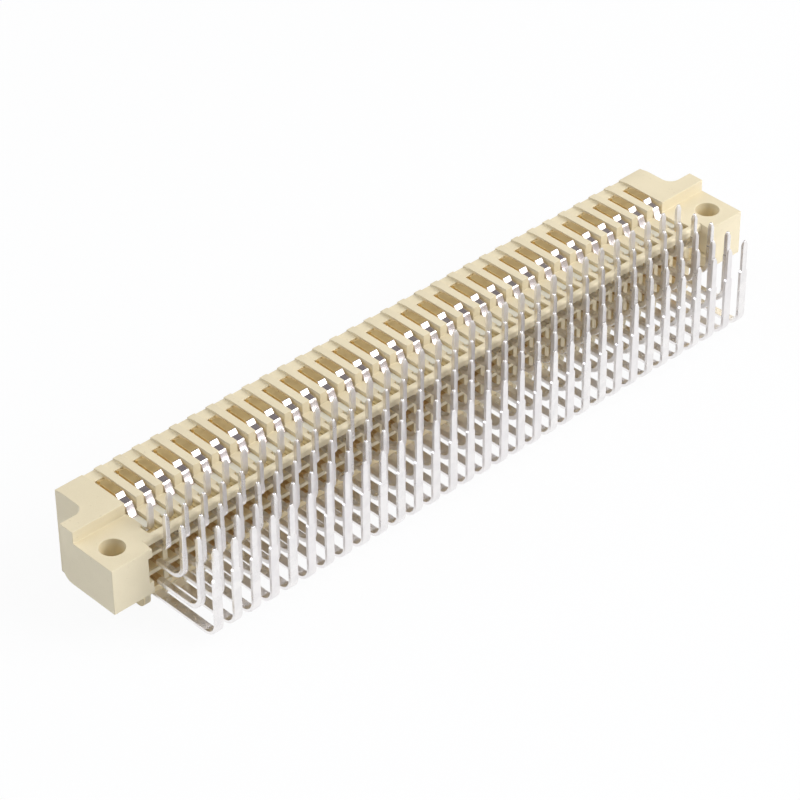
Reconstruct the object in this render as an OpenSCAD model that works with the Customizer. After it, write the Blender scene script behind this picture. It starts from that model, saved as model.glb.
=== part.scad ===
// Right-angle male board connector with five rows of contacts.
// X runs along the rows, Y points to the mating side and Z out of the board seat.
// The origin lies midway between the two fixing holes, on the board seat.
// Rows are counted from the seat downwards. Row 1 and row 5 are flat blades in grooves
// on the outside of the shroud, rows 2 to 4 are pins inside it.

/* [Contact grid] */
// Contacts in each row, a multiple of four
columns = 32; // [8:4:40]
// Spacing of the columns, the tail rows and the pin rows
pitch = 2.54; // [2.4:0.02:2.8]

/* [Shroud] */
// Wall of the shroud above and below the cavity
wall = 1.2; // [1.1:0.05:1.6]
// Wall of the shroud at its two ends
end_wall = 1.25; // [0.9:0.05:2]
// Gap from the outer pin rows to the cavity wall
side_clear = 1.58; // [1.2:0.02:2]
// Gap from the last pins to the cavity's end wall
end_clear = 2.83; // [1.6:0.01:3.2]
// Mating edge, forward of the fixing holes
mate_y = 10.1; // [9.6:0.1:12]
// Floor of the cavity, forward of the fixing holes
cavity_y = 3.9; // [3.8:0.05:4.4]
// Chamfer round the mouth of the cavity
mouth_chamfer = 0.5; // [0.2:0.05:0.6]
// Length of the lead-in bevel on the shroud's outer mating edges
lead_l = 1.25; // [0.6:0.05:1.5]
// Drop of the lead-in bevel at the mating edge
lead_drop = 0.2; // [0.05:0.05:0.25]
// Top of the shroud above the board seat
seat_step = 1.45; // [1.3:0.05:1.7]
// Step from the board seat up to the shroud, forward of the fixing holes
step_y = 3.15; // [3.05:0.05:3.3]

/* [Rear face] */
// Rear edge of the board seat, behind the fixing holes
lip_y = 1.6; // [1.3:0.05:1.9]
// Thickness of the board seat behind the first tails
lip_t = 0.9; // [0.85:0.05:1.1]
// Rounding of the board seat's rear edge
lip_r = 0.3; // [0.1:0.05:0.4]
// Rear face of the ribs between the columns, behind the fixing holes
rib_y = 0.45; // [0.2:0.05:0.8]
// Thickness of the ribs between the columns
rib_t = 0.65; // [0.5:0.05:0.9]
// Thickness of the shelves between the rows
shelf_t = 0.5; // [0.4:0.05:0.7]
// Middle of a shelf below the pin row above it
shelf_drop = 1; // [0.9:0.02:1.2]
// Rear edge of the top shelf, behind the fixing holes
shelf_rear = 1.17; // [1.05:0.02:1.4]
// Each shelf stands back from the one above it by this much
shelf_setback = 0.25; // [0:0.05:0.3]
// Depth of the pockets between the ribs
pocket_depth = 1.35; // [0.8:0.05:1.8]
// Rounding of the lower rear edge
heel_r = 0.8; // [0.4:0.1:1]
// Length of the rear block past the outer columns
block_end = 2.5; // [2.45:0.05:3.2]
// Length of the block past the outer columns, below the ears
heel_end = 1.95; // [1.5:0.05:2.4]

/* [Ears] */
// Fixing hole beyond the outer column
fix_offset = 5.08; // [4.6:0.02:6]
// Diameter of the fixing holes
fix_d = 2.8; // [2.2:0.1:3]
// End of an ear beyond its fixing hole
ear_end = 2.55; // [2:0.05:4]
// Inner side of an ear beyond the outer column
ear_inner = 2.33; // [2.1:0.01:2.6]
// Rear face of an ear behind its fixing hole
ear_rear = 3; // [2.4:0.1:4]
// Depth of an ear below the board seat
ear_depth = 5.7; // [4.5:0.1:7]
// Front face of the bar on an ear, forward of the fixing hole
bar_y = 5.2; // [4.8:0.1:6]
// Rounding of an ear's lower front edge
ear_r = 1.3; // [0.5:0.1:2]
// Fillet between an ear's bar and the shroud
bar_fillet = 1.3; // [0.6:0.1:2]
// Depth of the relief in an ear's inner side, behind the block
relief = 0.55; // [0.2:0.05:0.8]
// Top of the relief below the board seat
relief_top = 1.1; // [0.9:0.1:2]
// Bottom of the relief below the board seat
relief_low = 4.2; // [3:0.1:5.2]

/* [Pins of rows 2 to 4] */
// Width and thickness of a pin
pin = 0.6; // [0.5:0.02:0.64]
// Width of the wire behind the housing
wire_w = 0.7; // [0.66:0.02:0.9]
// Pin tips lie this far inside the mating edge
tip_recess = 1.3; // [0.6:0.1:2]
// Length of the tapered pin tip
tip_taper = 0.9; // [0.5:0.1:1.4]
// Wire shoulder below the board seat
shoulder = 0.15; // [0.05:0.05:0.5]

/* [Blades of rows 1 and 5] */
// Thickness of the strip
strip_t = 0.36; // [0.3:0.02:0.42]
// Width of a blade
blade_w = 1; // [0.9:0.05:1.1]
// Width of the grooves that hold the blades
groove_w = 1.5; // [1.25:0.05:1.75]
// A blade lies below the shroud's outer face by this much
blade_sink = 0.02; // [0:0.01:0.1]
// Rear end of a blade's flat, forward of the fixing holes
blade_rear = 5; // [4.8:0.1:5.4]
// Front end of a blade's flat, forward of the fixing holes
blade_front = 7.5; // [7:0.1:8.2]
// Length of the tongue ahead of the flat
tongue_l = 0.8; // [0.5:0.1:1]
// Width of the tongue
tongue_w = 0.5; // [0.4:0.05:0.7]
// Drop of the tongue into its well
tongue_dip = 0.35; // [0.2:0.05:0.45]
// Gap between the tongue and the end of its well
well_clear = 0.15; // [0.1:0.05:0.3]
// Drop of the first ramp behind a blade
ramp_dip = 0.42; // [0.3:0.02:0.44]
// Width of the slots that hold the runs of rows 1 and 5
slot_w = 1.15; // [1.1:0.05:1.45]
// Middle of the row 1 run below the board seat
run_1_depth = 0.58; // [0.5:0.01:0.65]
// Height of the slant at the foot of the row 1 drop
foot_1 = 0.5; // [0.3:0.05:0.6]
// Height of the slant at the foot of the row 5 drop
foot_5 = 0.25; // [0.15:0.05:0.3]
// Width of the row 1 run
run_1_w = 0.95; // [0.75:0.05:1.1]
// Gap behind the row 1 tails in the board seat
slot_clear = 0.12; // [0.08:0.02:0.6]
// Middle of the row 5 run above the shroud's lower face
run_5_rise = 1.17; // [1.1:0.01:1.4]
// Width of the row 5 run and of the tail below its shoulder
run_5_w = 1.05; // [0.8:0.05:1.1]
// Row 5 tails narrow this far below the board seat
shoulder_5 = 1.15; // [0.3:0.05:2]

/* [Tails] */
// Length of the tails above the board seat
tail_h = 2.95; // [2:0.05:4.5]
// Width of a tail in rows 2 to 4
tail_w = 0.56; // [0.5:0.02:0.64]
// Width of a tail in rows 1 and 5
tail_outer_w = 0.7; // [0.6:0.05:0.9]
// Length of the tapered end of a tail
tail_taper = 0.55; // [0.3:0.05:0.9]
// Part of a tail's width and thickness left at its end
tail_end = 0.5; // [0.3:0.05:0.8]
// Inside radius of the right-angle bends in rows 1 and 2
bend_r = 0.5; // [0.3:0.05:0.8]
// Inside radius of the right-angle bends in rows 3 to 5
bend_long_r = 1.5; // [0.5:0.05:2]

/* [Hidden] */
$fn = 48;
eps = 0.01;
far = 30;

field_l = (columns - 1) * pitch;
outer_x = field_l / 2;
shroud_x = outer_x + pin / 2 + end_clear + end_wall;
cavity_x = shroud_x - end_wall;
block_x = outer_x + block_end;
heel_x = outer_x + heel_end;
fix_x = outer_x + fix_offset;
ear_in_x = outer_x + ear_inner;
ear_out_x = fix_x + ear_end;

cavity_h = 2 * pitch + pin + 2 * side_clear;
shroud_h = cavity_h + 2 * wall;
shroud_mid = seat_step - shroud_h / 2;
shroud_low = seat_step - shroud_h;

pocket_w = pitch - rib_t;
pocket_y = pocket_depth - rib_y;
pin_tip_y = mate_y - tip_recess;
blade_1_z = seat_step - blade_sink - strip_t / 2;
blade_5_z = shroud_low + blade_sink + strip_t / 2;
run_5_z = shroud_low + run_5_rise;
// Middle line of the steep drop from a blade down to its run, and how far the drop leans
drop_y = step_y + 0.1;
drop_slant = 0.3;
// Fall of the strip between the ramp and the drop, and the slant that eases it into the drop
level_fall = 0.1;
ease = 0.12;
// Lengths over which a blade narrows to its tongue and to its run
tongue_neck = 0.25;
run_neck = 0.2;
slot_rear = strip_t / 2 + slot_clear;

function bank_name(r, b) = str("row_", r, "_bank_", b);
function column_x(i) = (i - (columns - 1) / 2) * pitch;
function tail_y(r) = -(r - 1) * pitch;
function pin_z(r) = shroud_mid + (3 - r) * pitch;
function shelf_z(r) = pin_z(r) - shelf_drop;
function shelf_y(r) = -shelf_rear + (r - 2) * shelf_setback;
function bend(r) = r < 3 ? bend_r : bend_long_r;

// Points along an arc from angle a to angle b
function arc(c, r, a, b, n = 6) =
    [for (i = [0:n]) c + r * [cos(a + (b - a) * i / n), sin(a + (b - a) * i / n)]];
function unit(v) = v / norm(v);
function left_of(v) = [-v.y, v.x];
function heading(path, i) = unit(path[i + 1] - path[i]);
// Point beside corner i of a path, d to its left, mitred at the corner
function beside(path, i, d) =
    let (last = len(path) - 1)
    let (u = heading(path, max(i - 1, 0)))
    let (v = heading(path, min(i, last - 1)))
    path[i] + d * (left_of(u) + left_of(v)) / (1 + u * v);
function flank(path, d) = [for (i = [0:len(path) - 1]) beside(path, i, d)];
function reversed(list) = [for (i = [len(list) - 1:-1:0]) list[i]];
// Outline of a strip of thickness t bent along a path
function ribbon(path, t) = concat(flank(path, t / 2), reversed(flank(path, -t / 2)));

// Path in Y and Z from the end of a run, round the bend and up the tail
function tail_path(r, z, t) =
    let (m = bend(r) + t / 2)
    concat(arc([tail_y(r) + m, z + m], m, 270, 180), [[tail_y(r), tail_h]]);

// Path of a blade from its tongue down to its run, with up = 1 for row 1 and -1 for row 5
function blade_path(blade_z, run_z, up, foot) = [
    [blade_front + tongue_l, blade_z - up * tongue_dip],
    [blade_front + strip_t / 3, blade_z],
    [blade_rear, blade_z],
    [blade_rear - ramp_dip, blade_z - up * ramp_dip],
    [drop_y + drop_slant + ease, blade_z - up * (ramp_dip + level_fall)],
    [drop_y + drop_slant, blade_z - up * (ramp_dip + level_fall + ease)],
    [drop_y, run_z + up * foot],
    [drop_y - max(drop_slant, foot), run_z]
];
path_1 = concat(blade_path(blade_1_z, -run_1_depth, 1, foot_1), tail_path(1, -run_1_depth, strip_t));
path_5 = concat(blade_path(blade_5_z, run_5_z, -1, foot_5), tail_path(5, run_5_z, strip_t));

// Extrudes an outline drawn in Y and Z to a width centred on X
module along_x(w) {
    translate([-w / 2, 0, 0])
        rotate([90, 0, 90])
            linear_extrude(w) children();
}

// Extrudes an outline drawn in X and Z right through along Y
module along_y() {
    translate([0, far, 0])
        rotate([90, 0, 0])
            linear_extrude(2 * far) children();
}

// Outline of a tail in X and Z, w wide up to its shoulder and tw wide above it
module tail_outline(w, tw, shoulder_z) {
    end = tail_end * tw / 2;
    polygon([
        [-w / 2, -far], [w / 2, -far], [w / 2, shoulder_z], [tw / 2, shoulder_z + (w - tw) / 2],
        [tw / 2, tail_h - tail_taper], [end, tail_h], [-end, tail_h],
        [-tw / 2, tail_h - tail_taper], [-tw / 2, shoulder_z + (w - tw) / 2], [-w / 2, shoulder_z]
    ]);
}

// Bevels the two broad faces of a tail towards its end
module tail_bevel(r, t) {
    end = tail_end * t / 2;
    translate([0, tail_y(r), 0])
        along_x(2 * blade_w)
            for (s = [-1, 1])
                polygon([
                    [s * end, tail_h + eps], [s * t, tail_h + eps],
                    [s * t, tail_h - tail_taper], [s * t / 2, tail_h - tail_taper]
                ]);
}

// One pin of rows 2 to 4: a square pin, a wire behind the housing and a tail
module pin_contact(r) {
    z = pin_z(r);
    difference() {
        intersection() {
            along_x(wire_w)
                polygon(ribbon(concat([[pin_tip_y, z]], tail_path(r, z, pin)), pin));
            union() {
                translate([0, 0, z - pin])
                    linear_extrude(2 * pin) pin_plan(r);
                along_y()
                    intersection() {
                        tail_outline(wire_w, tail_w, -shoulder);
                        translate([-far, z + pin / 2])
                            square([2 * far, far]);
                    }
            }
        }
        tail_bevel(r, pin);
        pin_point(z);
    }
}

// Plan of a pin and its wire, with a tapered tip and a shoulder on the pocket floor
module pin_plan(r) {
    polygon([
        [-wire_w / 2, tail_y(r) - pin], [wire_w / 2, tail_y(r) - pin], [wire_w / 2, pocket_y],
        [pin / 2, pocket_y], [pin / 2, pin_tip_y - tip_taper], [pin / 6, pin_tip_y],
        [-pin / 6, pin_tip_y], [-pin / 2, pin_tip_y - tip_taper], [-pin / 2, pocket_y],
        [-wire_w / 2, pocket_y]
    ]);
}

// Bevels a pin's tip above and below
module pin_point(z) {
    along_x(2 * blade_w)
        for (s = [-1, 1])
            polygon([
                [pin_tip_y - tip_taper, z + s * pin / 2], [pin_tip_y + eps, z + s * pin / 6],
                [pin_tip_y + eps, z + s * pin], [pin_tip_y - tip_taper, z + s * pin]
            ]);
}

// Plan of a blade from its tongue to its run, which is run_w wide
module blade_plan(r, run_w) {
    neck = drop_y + drop_slant;
    side = [
        [tongue_w / 2, blade_front + far], [tongue_w / 2, blade_front + tongue_neck],
        [blade_w / 2, blade_front], [blade_w / 2, neck], [run_w / 2, neck - run_neck],
        [run_w / 2, tail_y(r) - 1]
    ];
    polygon(concat(side, reversed([for (p = side) [-p.x, p.y]])));
}

// One stamped blade of row 1 or row 5, bent along a path
module blade_contact(r, path, run_w, shoulder_z) {
    difference() {
        intersection() {
            along_x(max(blade_w, run_w)) polygon(ribbon(path, strip_t));
            translate([0, 0, -far])
                linear_extrude(2 * far) blade_plan(r, run_w);
            union() {
                along_y() tail_outline(run_w, tail_outer_w, shoulder_z);
                translate([-far, tail_y(r) + bend(r) + strip_t, -far])
                    cube(2 * far);
            }
        }
        tail_bevel(r, strip_t);
    }
}

module contact(r) {
    if (r == 1) blade_contact(1, path_1, run_1_w, -run_1_depth);
    else if (r == 5) blade_contact(5, path_5, run_5_w, -shoulder_5);
    else pin_contact(r);
}

// A quarter of one row of contacts
module contact_bank(r, b) {
    each_bank = columns / 4;
    color("#c8c3bb")
        for (i = [(b - 1) * each_bank:b * each_bank - 1])
            translate([column_x(i), 0, 0])
                contact(r);
}

// Section of the rear block and shroud: seat, step, shroud and the shelved rear face
module body_section() {
    shelves = [for (r = [2:4]) each [
        [-rib_y, shelf_z(r) + shelf_t / 2], [shelf_y(r), shelf_z(r) + shelf_t / 2],
        [shelf_y(r), shelf_z(r) - shelf_t / 2], [-rib_y, shelf_z(r) - shelf_t / 2]
    ]];
    polygon(concat(
        [[step_y, 0]],
        arc([lip_r - lip_y, -lip_r], lip_r, 90, 180),
        [[-lip_y, -lip_t], [-rib_y, -lip_t]],
        shelves,
        arc([heel_r - rib_y, shroud_low + heel_r], heel_r, 180, 270),
        [[mate_y - lead_l, shroud_low], [mate_y, shroud_low + lead_drop]],
        [[mate_y, seat_step - lead_drop], [mate_y - lead_l, seat_step], [step_y, seat_step]]
    ));
}

// Section of an ear: fixing flange, raised bar and rounded lower front edge
module ear_section() {
    polygon(concat(
        [[-ear_rear, -ear_depth], [-ear_rear, 0], [step_y, 0], [step_y, seat_step]],
        [[bar_y, seat_step]],
        arc([bar_y - ear_r, ear_r - ear_depth], ear_r, 0, -90)
    ));
}

module ear() {
    ear_w = ear_out_x - ear_in_x;
    translate([ear_in_x + ear_w / 2, 0, 0])
        along_x(ear_w) ear_section();
    translate([shroud_x, bar_y, ear_r - ear_depth])
        linear_extrude(ear_depth - ear_r + seat_step)
            difference() {
                translate([-bar_fillet, -bar_fillet])
                    square(2 * bar_fillet);
                translate([bar_fillet, bar_fillet])
                    circle(bar_fillet);
                translate([-2 * bar_fillet, -2 * bar_fillet])
                    square([4 * bar_fillet, 2 * bar_fillet - eps]);
            }
}

// Relief in an ear's inner side, open to the rear
module ear_relief() {
    translate([ear_in_x - eps, -ear_rear - eps, -relief_low])
        cube([relief + eps, ear_rear - rib_y + eps, relief_low - relief_top]);
}

// Cavity for the mating half, with a chamfered mouth
module cavity() {
    depth = mate_y - cavity_y;
    translate([-cavity_x, cavity_y, shroud_mid - cavity_h / 2])
        cube([2 * cavity_x, depth + eps, cavity_h]);
    mouth = mouth_chamfer + eps;
    along_x(2 * cavity_x)
        polygon([
            [mate_y - mouth_chamfer, shroud_mid - cavity_h / 2],
            [mate_y + eps, shroud_mid - cavity_h / 2 - mouth],
            [mate_y + eps, shroud_mid + cavity_h / 2 + mouth],
            [mate_y - mouth_chamfer, shroud_mid + cavity_h / 2]
        ]);
}

// Cut for one blade: everything on the open side of the strip's seated flank
module blade_slot(path, up, rear_y) {
    seat = flank(path, up * strip_t / 2);
    // The flank counts up to the last point before the bend
    last = 7;
    floor = [for (i = [0:last]) seat[i]];
    well_y = path[0].x + well_clear;
    open_z = up > 0 ? seat_step + 1 : shroud_low - 1;
    // The groove in the shroud is wider than the slot behind it
    for (cut = [[groove_w, step_y, far], [slot_w, -far, step_y + eps]])
        along_x(cut[0])
            intersection() {
                polygon(concat(
                    [[mate_y + 1, floor[2].y], [well_y, floor[2].y], [well_y, floor[0].y]], floor,
                    [[rear_y, floor[last].y], [rear_y, open_z], [mate_y + 1, open_z]]
                ));
                translate([cut[1], -far])
                    square([cut[2] - cut[1], 2 * far]);
            }
}

// Cuts for one column: blade slots, rear pockets and the holes that grip the pins
module column_cuts() {
    blade_slot(path_1, 1, -slot_rear);
    blade_slot(path_5, -1, -ear_rear);
    heel_z = run_5_z + strip_t / 2;
    translate([-pocket_w / 2, -ear_rear, heel_z - far])
        cube([pocket_w, ear_rear + pocket_y, far]);
    for (r = [2:4]) {
        top = r == 2 ? -lip_t : shelf_z(r - 1) - shelf_t / 2;
        low = shelf_z(r) + shelf_t / 2;
        translate([-pocket_w / 2, -rib_y - eps, low])
            cube([pocket_w, pocket_depth + eps, top - low]);
        translate([-pin / 2, 0, pin_z(r) - pin / 2])
            cube([pin, cavity_y + 1, pin]);
    }
}

module housing() {
    color("#e5d9bd")
        difference() {
            union() {
                intersection() {
                    along_x(2 * shroud_x) body_section();
                    union() {
                        translate([-shroud_x, step_y, -far])
                            cube(2 * far + 2 * shroud_x);
                        translate([-block_x, -far, -ear_depth])
                            cube([2 * block_x, 2 * far, 2 * far]);
                        translate([-heel_x, -far, -far])
                            cube([2 * heel_x, 2 * far, 2 * far]);
                    }
                }
                ear();
                mirror([1, 0, 0]) ear();
            }
            cavity();
            for (i = [0:columns - 1])
                translate([column_x(i), 0, 0])
                    column_cuts();
            ear_relief();
            mirror([1, 0, 0]) ear_relief();
            for (s = [-1, 1])
                translate([s * fix_x, 0, -ear_depth - 1])
                    cylinder(d = fix_d, h = ear_depth + 2);
        }
}

housing();
for (r = [1:5])
    for (b = [1:4])
        contact_bank(r, b);
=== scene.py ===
"""Looks of a right-angle board connector: a beige moulding with five rows of plated contacts."""
import math

import bmesh
import bpy
from mathutils import Matrix, Vector


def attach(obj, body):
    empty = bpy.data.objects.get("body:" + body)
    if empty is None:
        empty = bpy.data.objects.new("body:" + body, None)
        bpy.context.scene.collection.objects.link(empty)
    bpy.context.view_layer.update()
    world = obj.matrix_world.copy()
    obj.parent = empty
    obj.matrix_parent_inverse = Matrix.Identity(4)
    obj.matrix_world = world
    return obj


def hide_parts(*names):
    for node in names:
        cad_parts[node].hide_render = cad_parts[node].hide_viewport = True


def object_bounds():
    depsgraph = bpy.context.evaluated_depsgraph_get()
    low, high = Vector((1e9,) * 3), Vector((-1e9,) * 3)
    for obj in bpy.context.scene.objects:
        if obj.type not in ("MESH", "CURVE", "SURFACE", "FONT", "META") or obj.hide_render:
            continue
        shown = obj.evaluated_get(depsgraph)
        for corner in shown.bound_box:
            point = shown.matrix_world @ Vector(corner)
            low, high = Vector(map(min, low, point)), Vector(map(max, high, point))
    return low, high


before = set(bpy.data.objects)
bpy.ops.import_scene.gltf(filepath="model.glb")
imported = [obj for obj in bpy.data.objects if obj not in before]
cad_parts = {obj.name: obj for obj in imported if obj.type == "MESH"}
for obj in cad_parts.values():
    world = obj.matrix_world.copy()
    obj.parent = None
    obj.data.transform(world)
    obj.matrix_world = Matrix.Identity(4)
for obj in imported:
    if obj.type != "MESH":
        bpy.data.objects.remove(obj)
cad_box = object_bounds()

# Sizes of the connector, in millimetres

MM = 0.001
COLUMNS = 32
PITCH = 2.54
OUTER_X = (COLUMNS - 1) * PITCH / 2
EAR_OFFSET = 2.33
HOLE_OFFSET = 5.08
FIELD_END = OUTER_X + EAR_OFFSET
HOLE_X = OUTER_X + HOLE_OFFSET
HOLE_R = 1.4
GROOVE_W = 1.5
RIB_HALF = (PITCH - GROOVE_W) / 2
SHROUD_TOP = 1.45
SHROUD_WALL = 1.2
CAVITY_HALF = 4.42
SHROUD_HALF = CAVITY_HALF + SHROUD_WALL
SHROUD_MID = SHROUD_TOP - SHROUD_HALF
WELL_W = 1.9
WELL_SPAN = (-0.85, 0.65)
WELL_DEPTH = 0.6

# Rounded edges: sizes in millimetres, and the turns that count as flat and as sharp

MOULD_EDGE = 0.07
BLADE_EDGE = 0.025
PIN_EDGE = 0.11
EDGE_STEPS = 2
WELD = 0.0005
FLAT = math.radians(0.4)
SHARP = math.radians(32)

# The camera stands where the photograph was taken from: degrees and millimetres

CAMERA_TURN = -42.97479
CAMERA_RISE = 36.84269
CAMERA_ROLL = 0.55131
CAMERA_PLACE = (-196.7597, -206.3487, 209.1430)
CAMERA_LENS = 146.6653
CAMERA_SENSOR = 36

# The stage, in metres

FLOOR_R = 3.0
FLOOR_SIDES = 64
FLOOR_GAP = 0.02 * MM
FLOOR_Z = cad_box[0].z - FLOOR_GAP
RIM_R = 2.0
RIM_STEPS = 8


def make_camera():
    """A long lens that looks down on the tails."""
    data = bpy.data.cameras.new("camera")
    data.sensor_width = CAMERA_SENSOR
    data.lens = CAMERA_LENS
    camera = bpy.data.objects.new("camera", data)
    bpy.context.scene.collection.objects.link(camera)
    turn = Matrix.Rotation(math.radians(CAMERA_TURN), 4, "Z")
    tilt = Matrix.Rotation(math.radians(90 - CAMERA_RISE), 4, "X")
    roll = Matrix.Rotation(math.radians(-CAMERA_ROLL), 4, "Z")
    camera.matrix_world = Matrix.Translation(Vector(CAMERA_PLACE) * MM) @ turn @ tilt @ roll
    bpy.context.scene.camera = camera


make_camera()


# Shader maths

class Socket:
    """An output socket that takes part in Python expressions."""

    def __init__(self, finish, socket):
        self.finish = finish
        self.socket = socket

    def __add__(self, other):
        return self.finish.maths("ADD", self, other)

    def __radd__(self, other):
        return self.finish.maths("ADD", other, self)

    def __sub__(self, other):
        return self.finish.maths("SUBTRACT", self, other)

    def __rsub__(self, other):
        return self.finish.maths("SUBTRACT", other, self)

    def __mul__(self, other):
        return self.finish.maths("MULTIPLY", self, other)

    def __rmul__(self, other):
        return self.finish.maths("MULTIPLY", other, self)


class Finish:
    """The nodes of a material or of the world, all made by one method."""

    def __init__(self, owner):
        self.owner = owner
        owner.use_nodes = True
        self.tree = owner.node_tree
        self.tree.nodes.clear()

    def node(self, kind, settings=None, sockets=None, output=0):
        """A node of a kind: its settings come first, then the values or links of its sockets."""
        made = self.tree.nodes.new(kind)
        for name, value in (settings or {}).items():
            setattr(made, name, value)
        for name, value in (sockets or {}).items():
            target = made.inputs[name]
            if isinstance(value, Socket):
                self.tree.links.new(value.socket, target)
            else:
                target.default_value = value
        return Socket(self, made.outputs[output]) if made.outputs else made

    def maths(self, operation, *values):
        return self.node("ShaderNodeMath", {"operation": operation}, dict(enumerate(values)))

    def place(self):
        """Place on the object in millimetres."""
        spot = self.node("ShaderNodeTexCoord", output="Object")
        return self.node(
            "ShaderNodeVectorMath", {"operation": "SCALE"}, {0: spot, "Scale": 1 / MM}
        )

    def axis(self, place, letter):
        return self.node("ShaderNodeSeparateXYZ", sockets={0: place}, output=letter)

    def noise(self, place, scale, detail=2, roughness=0.5):
        return self.node("ShaderNodeTexNoise", sockets={
            "Vector": place, "Scale": scale, "Detail": detail, "Roughness": roughness,
        })

    def spread(self, value, low, high):
        """0 up to low and 1 from high on, eased between them."""
        return self.node(
            "ShaderNodeMapRange", {"interpolation_type": "SMOOTHSTEP"},
            {"Value": value, "From Min": low, "From Max": high},
        )

    def within(self, value, low, high, ease):
        """1 between low and high, eased off to 0 outside them."""
        return self.spread(value, low - ease, low) * (1 - self.spread(value, high, high + ease))

    def sunk(self, height, start, full):
        """0 down to a depth of start and 1 from a depth of full on, eased between them."""
        return 1 - self.spread(height, -full, -start)

    def mix(self, share, first, second):
        return self.node(
            "ShaderNodeMix", {"data_type": "RGBA"},
            {"Factor": share, 6: first, 7: second}, output=2,
        )

    def bump(self, height, depth, strength):
        return self.node(
            "ShaderNodeBump",
            sockets={"Height": height, "Distance": depth, "Strength": strength},
        )

    def surface(self, shader):
        self.node("ShaderNodeOutputMaterial", sockets={"Surface": shader})


def colour(red, green, blue):
    """A linear colour from the eight-bit values that a screen shows."""
    def linear(value):
        share = value / 255
        return share / 12.92 if share <= 0.04045 else ((share + 0.055) / 1.055) ** 2.4
    return (linear(red), linear(green), linear(blue), 1)


# Tones of the moulding, and the most of each that is mixed in

BEIGES = (colour(226, 214, 184), colour(231, 219, 189))
FIBRE, FIBRE_SHARE = colour(237, 227, 201), 0.3
SPECK, SPECK_SHARE = colour(186, 168, 134), 0.18
# A lighter, golden beige for holes, pockets, grooves and slots: a painted glow that stands in for
# light bounced and scattered in the plastic.
HOLLOW_GLOW, HOLLOW_GLOW_SHARE = colour(248, 230, 186), 0.85
# A darker olive beige for the wells round the tails' feet: painted shade.
WELL_PAINTED_SHADE, WELL_PAINTED_SHADE_SHARE = colour(190, 170, 116), 0.75
# The ear holes take half as much of the painted glow as pockets, grooves and slots.
HOLE_GLOW_SHARE = 0.5

# Where the hollows lie along Y, and how deep their painted glow, and the wells' painted shade,
# starts and is full, in millimetres

POCKET_SPAN = (0.0, 1.0)
GROOVE_SPAN = (3.2, 8.4)
SLOT_SPAN = (-0.7, 3.1)
HOLE_SHADE = (0.1, 1.2)
POCKET_SHADE = (0.8, 1.2)
GROOVE_SHADE = (0.05, 0.55)
SLOT_SHADE = (0.1, 0.5)
WELL_SHADE = (0.05, 0.45)
WELL_END = (-WELL_DEPTH - 0.2, -WELL_DEPTH - 0.1)
RIB_EDGE = (RIB_HALF - 0.12, RIB_HALF + 0.03)

# How softly their tone ends at their sides, in millimetres

FIELD_EASE = 0.1
HOLE_EASE = 0.15
POCKET_EASE = 0.6
CUT_EASE = 0.05
WELL_EASE = 0.03

# Roughness of the moulding, and what the fleck adds to it

MOULD_ROUGH = 0.46
FLECK_ROUGH = 0.16


def hollows(f, place):
    """How far, from 0 to 1, a spot lies in a hole, pocket, groove or slot, which take a painted
    glow, and in the wells round the tails' feet, which take painted shade.
    """
    across, along, up = (f.axis(place, letter) for letter in "XYZ")
    side = f.maths("ABSOLUTE", across)
    field = 1 - f.spread(side, FIELD_END, FIELD_END + FIELD_EASE)
    ear = side - HOLE_X
    reach = f.maths("SQRT", ear * ear + along * along)
    hole = (1 - f.spread(reach, HOLE_R, HOLE_R + HOLE_EASE)) * f.sunk(up, *HOLE_SHADE)
    pocket = f.sunk(up, *POCKET_SHADE) * f.within(along, *POCKET_SPAN, POCKET_EASE)

    near = f.spread(f.maths("PINGPONG", across, PITCH / 2), *RIB_EDGE)
    rise = f.maths("ABSOLUTE", up - SHROUD_MID)
    outside = f.spread(rise, CAVITY_HALF, CAVITY_HALF + FIELD_EASE)
    wall = outside * f.sunk(rise - SHROUD_HALF, *GROOVE_SHADE)
    groove = near * wall * f.within(along, *GROOVE_SPAN, CUT_EASE)
    slot = near * f.sunk(up, *SLOT_SHADE) * f.within(along, *SLOT_SPAN, CUT_EASE)

    shallow = f.sunk(up, *WELL_SHADE) * f.spread(up, *WELL_END)
    well_painted_shade = shallow * f.within(along, *WELL_SPAN, WELL_EASE)
    return HOLE_GLOW_SHARE * hole + field * (pocket + groove + slot), field * well_painted_shade


def moulding_finish():
    """Beige glass-filled plastic: clouds of tone, fibre fleck, a satin skin, a painted glow in the
    hollows and painted shade in the wells round the tails' feet.
    """
    f = Finish(bpy.data.materials.new("beige_moulding"))
    place = f.place()
    clouds = f.noise(place, scale=0.22, detail=3)
    fleck = f.noise(place, scale=7.0, roughness=0.6)
    specks = f.noise(place, scale=2.4, detail=1)
    skin = f.noise(place, scale=11.0)
    hollow_glow, well_painted_shade = hollows(f, place)
    tone = f.mix(f.spread(clouds, 0.35, 0.65), *BEIGES)
    tone = f.mix(FIBRE_SHARE * f.spread(fleck, 0.4, 0.75), tone, FIBRE)
    tone = f.mix(SPECK_SHARE * f.spread(specks, 0.71, 0.76), tone, SPECK)
    # Painted glow: a lighter golden beige in holes, pockets, grooves and slots.
    tone = f.mix(HOLLOW_GLOW_SHARE * f.spread(hollow_glow, 0.0, 1.0), tone, HOLLOW_GLOW)
    # Painted shade: a darker olive beige in the wells round the tails' feet.
    tone = f.mix(WELL_PAINTED_SHADE_SHARE * well_painted_shade, tone, WELL_PAINTED_SHADE)
    f.surface(f.node("ShaderNodeBsdfPrincipled", sockets={
        "Base Color": tone,
        "Roughness": MOULD_ROUGH + FLECK_ROUGH * (fleck - 0.5),
        "Normal": f.bump(skin, depth=0.010 * MM, strength=0.5),
        "IOR": 1.5,
    }))
    return f.owner


# Tones of the platings, and the most of the duller tins that is mixed in

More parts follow.
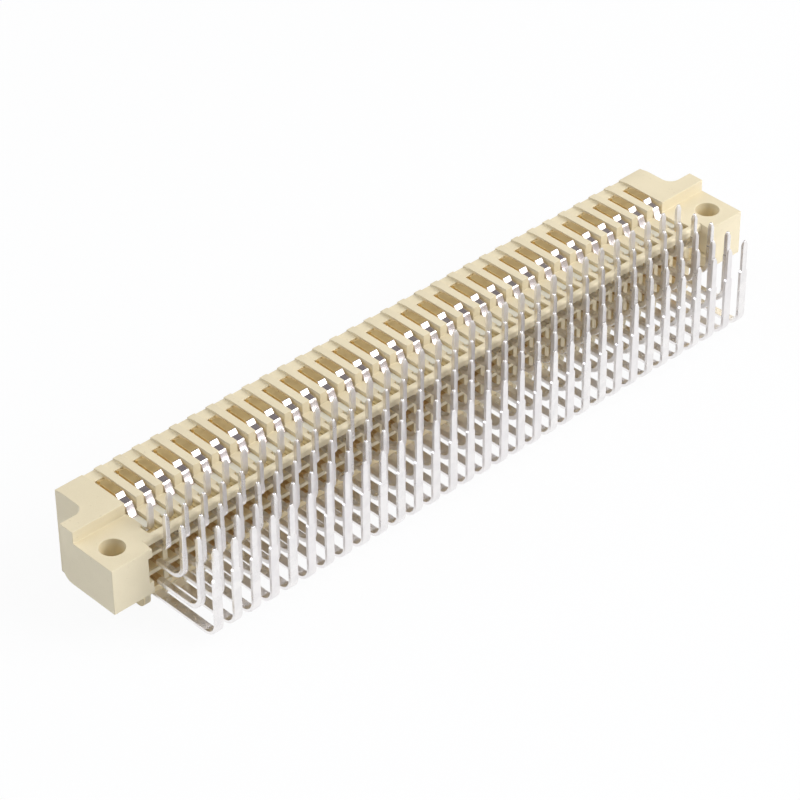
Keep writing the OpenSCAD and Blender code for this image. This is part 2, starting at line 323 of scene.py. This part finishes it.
TINS = (colour(237, 235, 235), colour(247, 245, 244))
DULL_TIN, DULL_SHARE = colour(231, 226, 229), 0.3
# A pale cream tin for the runs: a painted reflection of the cream moulding beside them.
RUN_PAINTED_REFLECTION, RUN_REFLECTION_SHARE = colour(242, 242, 230), 0.7
GILTS = (colour(214, 187, 132), colour(224, 199, 144))
# Behind the gold, the blades take a darker, lilac copy of the tin: painted shade.
BLADE_PAINTED_SHADES = (colour(214, 206, 208), colour(224, 217, 215))
# Behind the gold, the pins take a warm, brownish tin: a painted reflection of the brown pockets
# round their runs.
PIN_PAINTED_REFLECTIONS = (colour(214, 196, 178), colour(226, 208, 190))

# Where the platings and the painted tones begin, and the tin turns dull, along Y in millimetres

BLADE_GOLD_Y = 5.02
BLADE_NICKEL_Y = 2.6
PIN_GOLD_Y = 4.4
# The pins' painted reflection of the pockets starts here, so that it covers their runs in the
# pockets.
PIN_NICKEL_Y = -0.9
MATTE_Y = (-1.8, -0.8)
RUN_SPAN = (0.5, 2.3)

# How ragged and how soft their limits are, in millimetres

GOLD_FRAY, GOLD_EASE = 0.1, 0.03
NICKEL_FRAY, NICKEL_EASE = 0.3, 0.15
RUN_EASE = 0.2

# Roughness of the tin, and what wear and each zone add to it

TIN_ROUGH = 0.28
SMEAR_ROUGH = 0.06
BATCH_ROUGH = 0.05
MATTE_ROUGH = 0.22
RUN_ROUGH = 0.2
NICKEL_ROUGH = -0.10
GOLD_ROUGH = 0.29

# Tone from contact to contact, and the grain of the rolled strip

BATCH_SEED = 0.37
ROLLED_GRAIN = (14.0, 1.5, 1.5)


def contact_finish(name, gold_y, nickel_y, painted_tones):
    """Plating by place: gold on the mating end, nickel behind it and tin on the run and tail; behind
    the gold the blades take painted shade and the pins a painted reflection of the brown pockets,
    and the run takes a painted cream reflection.
    """
    f = Finish(bpy.data.materials.new(name))
    place = f.place()
    across = f.axis(place, "X")
    along = f.axis(place, "Y")
    ragged = f.noise(place, scale=3.0) - 0.5
    gold = f.spread(along + GOLD_FRAY * ragged, gold_y - GOLD_EASE, gold_y + GOLD_EASE)
    nickel = f.spread(along + NICKEL_FRAY * ragged, nickel_y - NICKEL_EASE, nickel_y + NICKEL_EASE)
    matte = f.spread(along, *MATTE_Y) * (1 - nickel)
    run = f.within(along, *RUN_SPAN, RUN_EASE)

    smear = f.noise(place, scale=0.9)
    worn = f.spread(smear, 0.3, 0.7)
    column = f.maths("FLOOR", across * (1 / PITCH))
    batch = f.node(
        "ShaderNodeTexWhiteNoise", {"noise_dimensions": "1D"}, {"W": column + BATCH_SEED}
    )
    tone = f.mix(DULL_SHARE * batch, f.mix(worn, *TINS), DULL_TIN)
    # Behind the gold: painted shade on the blades, and a painted reflection of the brown pockets on
    # the pins.
    tone = f.mix(nickel, tone, f.mix(worn, *painted_tones))
    tone = f.mix(gold, tone, f.mix(worn, *GILTS))
    # The run takes a painted cream reflection.
    tone = f.mix(RUN_REFLECTION_SHARE * run, tone, RUN_PAINTED_REFLECTION)
    rough = TIN_ROUGH + SMEAR_ROUGH * (smear - 0.5) + BATCH_ROUGH * (batch - 0.5)
    rough = rough + MATTE_ROUGH * matte + RUN_ROUGH * run + NICKEL_ROUGH * nickel + GOLD_ROUGH * gold
    rolled = f.node("ShaderNodeMapping", sockets={"Vector": place, "Scale": ROLLED_GRAIN})
    f.surface(f.node("ShaderNodeBsdfPrincipled", sockets={
        "Base Color": tone,
        "Metallic": 1.0,
        "Roughness": rough,
        "Normal": f.bump(f.noise(rolled, scale=1.0), depth=0.0015 * MM, strength=0.2),
    }))
    return f.owner


# Moulded and stamped pieces with their edges eased

def level_normals(shape, eased):
    """Shading that keeps flat faces flat and lets only the eased edges turn the light."""
    shape.normal_update()
    normals = []
    for corner in shape.verts:
        flats = [face for face in corner.link_faces if face not in eased] or corner.link_faces
        lean = sum((face.normal * face.calc_area() for face in flats), Vector())
        normals.append(lean.normalized())
    return normals


def well_cutters():
    """Blocks that take out the shallow wells round the feet of row 1's tails."""
    rear, front = WELL_SPAN
    blocks = bmesh.new()
    for column in range(COLUMNS):
        made = bmesh.ops.create_cube(blocks, size=MM)["verts"]
        bmesh.ops.scale(blocks, verts=made, vec=(WELL_W, front - rear, 2 * WELL_DEPTH))
        spot = Vector((column * PITCH - OUTER_X, (front + rear) / 2, 0))
        bmesh.ops.translate(blocks, verts=made, vec=spot * MM)
    return blocks


def cut_away(shape, cutters):
    """The shape less the cutters, by a Boolean modifier on a passing object."""
    passing = []
    for part in (shape, cutters):
        mesh = bpy.data.meshes.new("passing")
        part.to_mesh(mesh)
        part.free()
        passing.append(bpy.data.objects.new("passing", mesh))
        bpy.context.scene.collection.objects.link(passing[-1])
    cut = passing[0].modifiers.new("wells", "BOOLEAN")
    cut.object = passing[1]
    cut.operation = "DIFFERENCE"
    cut.solver = "EXACT"
    left = bmesh.new()
    left.from_object(passing[0], bpy.context.evaluated_depsgraph_get())
    for part in passing:
        mesh = part.data
        bpy.data.objects.remove(part)
        bpy.data.meshes.remove(mesh)
    return left


def eased_copy(node, name, radius, finish, cutters=None):
    """A copy of a solid with its edges rounded, which stands for the solid."""
    shape = bmesh.new()
    shape.from_mesh(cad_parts[node].data)
    bmesh.ops.remove_doubles(shape, verts=shape.verts, dist=WELD * MM)
    if cutters:
        shape = cut_away(shape, cutters)
        bmesh.ops.remove_doubles(shape, verts=shape.verts, dist=WELD * MM)
    bmesh.ops.dissolve_limit(shape, angle_limit=FLAT, verts=shape.verts, edges=shape.edges)
    corners = [
        edge for edge in shape.edges
        if len(edge.link_faces) == 2 and edge.calc_face_angle(0) > SHARP
    ]
    made = bmesh.ops.bevel(
        shape, geom=corners, offset=radius * MM, offset_type="OFFSET", segments=EDGE_STEPS,
        profile=0.5, affect="EDGES", clamp_overlap=False, material=-1,
    )
    normals = level_normals(shape, set(made["faces"]))
    mesh = bpy.data.meshes.new(name)
    shape.to_mesh(mesh)
    shape.free()
    mesh.shade_smooth()
    mesh.normals_split_custom_set_from_vertices(normals)
    mesh.materials.clear()
    mesh.materials.append(finish)
    piece = bpy.data.objects.new(name, mesh)
    bpy.context.scene.collection.objects.link(piece)
    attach(piece, "root")
    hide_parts(node)


moulding = moulding_finish()
blade_plating = contact_finish("blade_plating", BLADE_GOLD_Y, BLADE_NICKEL_Y, BLADE_PAINTED_SHADES)
pin_plating = contact_finish("pin_plating", PIN_GOLD_Y, PIN_NICKEL_Y, PIN_PAINTED_REFLECTIONS)

ROWS = {
    1: (BLADE_EDGE, blade_plating, "upper_blades"),
    2: (PIN_EDGE, pin_plating, "pins"),
    3: (PIN_EDGE, pin_plating, "pins"),
    4: (PIN_EDGE, pin_plating, "pins"),
    5: (BLADE_EDGE, blade_plating, "lower_blades"),
}
BANKS = (1, 2, 3, 4)

eased_copy("housing", "moulded_housing", MOULD_EDGE, moulding, well_cutters())
for row, (radius, plating, slot) in ROWS.items():
    for bank in BANKS:
        eased_copy(f"row_{row}_bank_{bank}", f"contacts_{row}_{bank}", radius, plating)


# Stage and light

PAPERS = ((0.83, 0.85, 0.89, 1), (0.86, 0.88, 0.92, 1))
PAPER_GLOW = 0.93

SKY_LOW = (0.275, 0.28, 0.295, 1)
SKY_HIGH = (0.24, 0.24, 0.24, 1)
SKY_BEHIND = (0.25, 0.235, 0.24, 1)
SKY_BESIDE = (0.85, 0.82, 0.78, 1)
SKY_RISE = (0.0, 0.8)
BEHIND, BEHIND_COSINES = Vector((0.545, 0.56, 0.63)).normalized(), (0.80, 0.95)
BESIDE, BESIDE_COSINES = Vector((0.86, 0.40, 0.32)).normalized(), (0.90, 0.99)


def floor_finish():
    """A white sheet that shows white and still takes the object's shadow."""
    f = Finish(bpy.data.materials.new("white_sheet"))
    paper = f.mix(f.noise(f.place(), scale=0.05), *PAPERS)
    sheet = f.node("ShaderNodeBsdfPrincipled", sockets={
        "Base Color": paper, "Roughness": 1.0, "Specular IOR Level": 0.0,
    })
    seen = f.node("ShaderNodeLightPath", output="Is Camera Ray")
    shiny = f.node("ShaderNodeLightPath", output="Is Glossy Ray")
    through = f.node("ShaderNodeLightPath", output="Is Transmission Ray")
    glow = f.node("ShaderNodeEmission", sockets={"Color": (1, 1, 1, 1), "Strength": 1.0})
    f.surface(f.node("ShaderNodeMixShader", sockets={
        0: PAPER_GLOW * (seen + shiny + through), 1: sheet, 2: glow,
    }))
    return f.owner


def make_floor():
    """A round white sheet whose rim curves up, so that it lies behind the object from any side."""
    shape = bmesh.new()
    bmesh.ops.create_circle(shape, cap_ends=True, segments=FLOOR_SIDES, radius=FLOOR_R)
    edges = [edge for edge in shape.edges if edge.is_boundary]
    for step in range(1, RIM_STEPS + 1):
        turn = math.radians(90) * step / RIM_STEPS
        grown = bmesh.ops.extrude_edge_only(shape, edges=edges)["geom"]
        edges = [part for part in grown if isinstance(part, bmesh.types.BMEdge)]
        radius = FLOOR_R + RIM_R * math.sin(turn)
        for corner in (part for part in grown if isinstance(part, bmesh.types.BMVert)):
            corner.co = Vector((corner.co.x, corner.co.y, 0)).normalized() * radius
            corner.co.z = RIM_R * (1 - math.cos(turn))
    bmesh.ops.translate(shape, verts=shape.verts, vec=(0, 0, FLOOR_Z))
    mesh = bpy.data.meshes.new("floor")
    shape.to_mesh(mesh)
    shape.free()
    mesh.shade_smooth()
    mesh.materials.append(floor_finish())
    floor = bpy.data.objects.new("floor", mesh)
    bpy.context.scene.collection.objects.link(floor)


def make_world():
    """A plain studio: even grey light, a little warmer behind the object, and a pale side wall."""
    world = bpy.data.worlds.new("studio")
    bpy.context.scene.world = world
    f = Finish(world)
    look = f.node("ShaderNodeTexCoord", output="Generated")

    def facing(side):
        return f.node(
            "ShaderNodeVectorMath", {"operation": "DOT_PRODUCT"}, {0: look, 1: side}, "Value"
        )

    sky = f.mix(f.spread(f.axis(look, "Z"), *SKY_RISE), SKY_LOW, SKY_HIGH)
    sky = f.mix(f.spread(facing(BEHIND), *BEHIND_COSINES), sky, SKY_BEHIND)
    sky = f.mix(f.spread(facing(BESIDE), *BESIDE_COSINES), sky, SKY_BESIDE)
    light = f.node("ShaderNodeBackground", sockets={"Color": sky, "Strength": 1.0})
    f.node("ShaderNodeOutputWorld", sockets={"Surface": light})


def soft_box(name, towards, distance, size, power, tint):
    """A square lamp that looks at the object from a direction."""
    data = bpy.data.lights.new(name, "AREA")
    data.shape = "SQUARE"
    data.size = size
    data.energy = power
    data.color = tint
    lamp = bpy.data.objects.new(name, data)
    bpy.context.scene.collection.objects.link(lamp)
    direction = Vector(towards).normalized()
    lamp.location = direction * distance
    lamp.rotation_mode = "QUATERNION"
    lamp.rotation_quaternion = direction.to_track_quat("Z", "Y")


make_floor()
make_world()
soft_box(
    "right_box", towards=(0.545, -0.60, 0.585), distance=0.55, size=0.42, power=2.4,
    tint=(1.0, 0.99, 0.98),
)
soft_box(
    "front_box", towards=(0.38, -0.86, 0.34), distance=0.62, size=0.4, power=0.66,
    tint=(0.94, 0.97, 1.0),
)
soft_box(
    "left_box", towards=(-0.60, 0.585, 0.545), distance=0.9, size=0.5, power=2.6,
    tint=(0.86, 0.91, 1.0),
)
soft_box(
    "top_box", towards=(0.0, 0.0, 1.0), distance=0.7, size=0.62, power=1.42,
    tint=(1.0, 0.97, 0.89),
)

bpy.context.scene.view_settings.view_transform = "Standard"
